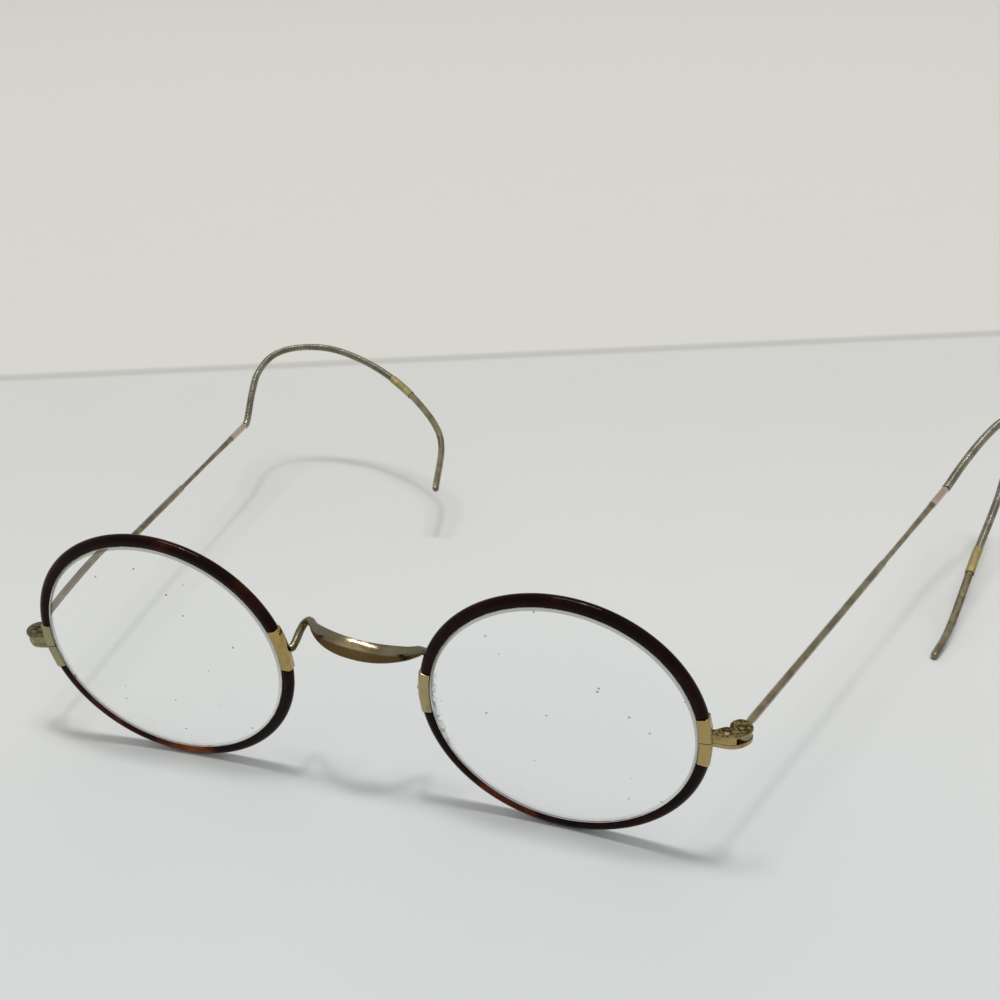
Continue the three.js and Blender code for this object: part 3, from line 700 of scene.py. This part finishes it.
def add_winding(side):
    """Fine wire wound round the cable from the ferrule to the sleeve."""
    line = cable_path(side, WIRE_PITCH / TURN_STEPS)[FREE_START:-FREE_END]
    tangents = tangents_of(line)
    normals = carried_normals(tangents)
    sideways = np.cross(tangents, normals)
    angle = 2 * math.pi * np.arange(len(line))[:, None] / TURN_STEPS
    out = normals * np.cos(angle) + sideways * np.sin(angle)
    helix = line + out * (WINDING_RADIUS - WIRE_RADIUS)
    across = np.cross(tangents_of(helix), out)
    points = []
    for centre, first, second in zip(helix, out, across):
        for i in range(WIRE_SIDES):
            a = 2 * math.pi * i / WIRE_SIDES
            points.append(centre + WIRE_RADIUS * (math.cos(a) * first + math.sin(a) * second))
    faces = tube_faces(len(helix), WIRE_SIDES)
    name = side + "_cable_winding"
    body = side + "_temple"
    add_piece(name + "_wire", points, faces, cable_frame(side), body, name, "cable_wire", WIRE_SHARP)


rise = math.degrees(math.asin(COLLAR_RISE / COLLAR_OUTER))
gap = math.degrees(COVER_END_GAP / COLLAR_OUTER)
for side in SIDES:
    add_lens(side)
    add_cover(side, "upper", rise + TEMPORAL_ARC + gap, 180 - rise - NASAL_ARC - gap)
    add_cover(side, "lower", 180 - rise + NASAL_ARC + gap, rise + 360 - TEMPORAL_ARC - gap)
    add_winding(side)

# The solids that stay: their finish, and welded, softened and smoothly shaded edges
WELD_DISTANCE = 1e-6
SHARP_ANGLE = math.radians(38)
EDGE_WIDTH = {"nasal_collar": 0.12, "upper_endpiece": 0.07, "lower_endpiece": 0.07}
EDGE_SEGMENTS = 2
WORN_AS = {
    "eyewire": "eyewire_gold",
    "nasal_collar": "gold",
    "right_nasal_collar": "worn_gold",
    "upper_endpiece": "endpiece_gold",
    "lower_endpiece": "endpiece_gold",
    "left_upper_endpiece": "dull_endpiece_gold",
    "left_lower_endpiece": "dull_endpiece_gold",
    "closing_screw": "screw_metal",
    "hinge_screw": "screw_metal",
    "temple_shaft": "temple_metal",
    "ferrule": "ferrule_metal",
    "cable_core": "screw_metal",
    "cable_sleeve": "sleeve_gold",
    "temple_tip": "temple_metal",
    "bridge": "bridge_gold",
}


def geometry_group(name):
    group = bpy.data.node_groups.new(name, "GeometryNodeTree")
    group.interface.new_socket("Geometry", in_out="INPUT", socket_type="NodeSocketGeometry")
    group.interface.new_socket("Geometry", in_out="OUTPUT", socket_type="NodeSocketGeometry")
    return group, group.nodes.new("NodeGroupInput"), group.nodes.new("NodeGroupOutput")


def welding():
    group, start, end = geometry_group("weld")
    merge = group.nodes.new("GeometryNodeMergeByDistance")
    merge.inputs["Distance"].default_value = WELD_DISTANCE
    group.links.new(start.outputs["Geometry"], merge.inputs["Geometry"])
    group.links.new(merge.outputs["Geometry"], end.inputs["Geometry"])
    return group


def smoothing():
    group, start, end = geometry_group("smooth_by_angle")
    edge = group.nodes.new("GeometryNodeInputMeshEdgeAngle")
    sharp = group.nodes.new("FunctionNodeCompare")
    sharp.data_type = "FLOAT"
    sharp.operation = "GREATER_THAN"
    sharp.inputs["B"].default_value = SHARP_ANGLE
    shade = group.nodes.new("GeometryNodeSetMeshNormal")
    shade.mode = "SHARPNESS"
    shade.inputs["Remove Custom"].default_value = True
    group.links.new(start.outputs["Geometry"], shade.inputs["Mesh"])
    group.links.new(edge.outputs["Unsigned Angle"], sharp.inputs["A"])
    group.links.new(sharp.outputs["Result"], shade.inputs["Edge Sharpness"])
    group.links.new(shade.outputs["Mesh"], end.inputs["Geometry"])
    return group


weld = welding()
smooth_by_angle = smoothing()
for name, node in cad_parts.items():
    kind = name if name == "bridge" else name.split("_", 1)[1]
    look = WORN_AS.get(name) or WORN_AS.get(kind)
    if look:
        node.material_slots[0].material = finish[look]
        node.modifiers.new("weld", "NODES").node_group = weld
        if kind in EDGE_WIDTH:
            edges = node.modifiers.new("edges", "BEVEL")
            edges.limit_method = "ANGLE"
            edges.angle_limit = SHARP_ANGLE
            edges.width = EDGE_WIDTH[kind] * MM
            edges.segments = EDGE_SEGMENTS
        node.modifiers.new("smooth", "NODES").node_group = smooth_by_angle

# Floor: two sheets of pale paper that meet at a seam behind the glasses, with a painted shadow along the
# seam
FLOOR_HALF = 2.5
FLOOR_DROP = 0.03 * MM
FLOOR_RELIEF = 0.02 * MM
SEAM_START = between_eyes + Vector((-171.9, 132.2, 0)) * MM
SEAM_END = between_eyes + Vector((115.9, 237.0, 0)) * MM
SEAM_HALF = 0.6 * MM
SEAM_FADE = 4.2 * MM
SEAM_SHADOW_SHARE = 0.4
SHADE_START = -170 * MM
SHADE_END = -10 * MM
WARM_PAPER = (0.655, 0.66, 0.645)
COOL_PAPER = (0.61, 0.63, 0.635)
SHADED_PAPER = (0.60, 0.605, 0.58)
FAR_PAPER = (0.64, 0.63, 0.585)
# Painted shadow along the seam
SEAM_SHADOW_COLOUR = (0.30, 0.29, 0.27)


def floor_material():
    s = Shader("pale_floor")
    seam = (SEAM_END - SEAM_START).normalized()
    beyond = Vector((-seam.y, seam.x, 0))
    past = s.math("SUBTRACT", s.vector_math("DOT_PRODUCT", s.place, beyond), beyond.dot(SEAM_START))
    paper = s.mix(s.range(s.noise(scale=5, detail=2), 0.35, 0.7), WARM_PAPER, COOL_PAPER)
    paper = s.mix(s.range(past, SHADE_START, SHADE_END), paper, SHADED_PAPER)
    paper = s.mix(s.range(past, -SEAM_HALF, SEAM_HALF), paper, FAR_PAPER)
    # Painted shadow along the seam
    seam_shadow = s.range(s.math("ABSOLUTE", past), SEAM_HALF, SEAM_FADE, first=SEAM_SHADOW_SHARE, last=0.0)
    s.set(
        Base_Color=s.mix(seam_shadow, paper, SEAM_SHADOW_COLOUR),
        Roughness=s.range(s.noise(scale=60), 0.3, 0.7, first=0.5, last=0.6),
    )
    s.bump(s.noise(scale=900), FLOOR_RELIEF, strength=0.25)
    return s.material


def add_floor():
    mesh = bpy.data.meshes.new("floor")
    corners = ((-1, -1), (1, -1), (1, 1), (-1, 1))
    points = [(x * FLOOR_HALF, y * FLOOR_HALF, -FLOOR_DROP) for x, y in corners]
    mesh.from_pydata(points, [], [(0, 1, 2, 3)])
    mesh.materials.append(floor_material())
    floor = add_object("floor", mesh)


# Lamps, in metres and degrees
STRIP_HEIGHT = 4.0
STRIP_LENGTH = 2.2
STRIP_WIDTH = 0.5
STRIP_POWER = 66.0
SUN_LEAN = 3
SUN_SPREAD = 5
SUN_STRENGTH = 0.45


def add_lamps():
    """A long strip overhead, from left to right, and a small lamp above it."""
    data = bpy.data.lights.new("strip", "AREA")
    data.shape = "RECTANGLE"
    data.size = STRIP_LENGTH
    data.size_y = STRIP_WIDTH
    data.energy = STRIP_POWER
    strip = add_object("strip", data)
    strip.location = (0, 0, STRIP_HEIGHT)
    data = bpy.data.lights.new("small_lamp", "SUN")
    data.angle = math.radians(SUN_SPREAD)
    data.energy = SUN_STRENGTH
    small = add_object("small_lamp", data)
    small.rotation_euler = (0, math.radians(SUN_LEAN), 0)


# World, with where along an axis each light starts and is full, and its strength there
CEILING = (0.40, 0.72, 0.06, 0.70)
BACK_WALL = (0.20, 0.80, 0.0, 0.55)
BACKDROP = 0.58
WORLD_COLOUR = (1, 1, 0.98)


def add_world():
    """A pale ceiling and a pale wall behind light the object; the rest of the room only looks pale."""
    world = bpy.data.worlds.new("studio")
    bpy.context.scene.world = world
    w = Nodes(world)
    coords = w.add("ShaderNodeTexCoord")
    split = w.add("ShaderNodeSeparateXYZ", Vector=coords.outputs["Generated"])
    ceiling = w.range(split.outputs["Z"], *CEILING, course="LINEAR")
    back_wall = w.range(split.outputs["Y"], *BACK_WALL, course="LINEAR")
    level = w.math("MAXIMUM", ceiling, back_wall)
    path = w.add("ShaderNodeLightPath")
    looked = path.outputs["Is Camera Ray"]
    for ray in ("Is Glossy Ray", "Is Transmission Ray"):
        looked = w.math("MAXIMUM", looked, path.outputs[ray])
    strength = w.math("MAXIMUM", level, w.math("MULTIPLY", looked, BACKDROP))
    light = w.add("ShaderNodeBackground", Color=WORLD_COLOUR, Strength=strength)
    output = w.add("ShaderNodeOutputWorld")
    w.join(light.outputs["Background"], output.inputs["Surface"])


add_floor()
add_lamps()
add_world()
bpy.context.scene.view_settings.view_transform = "Standard"
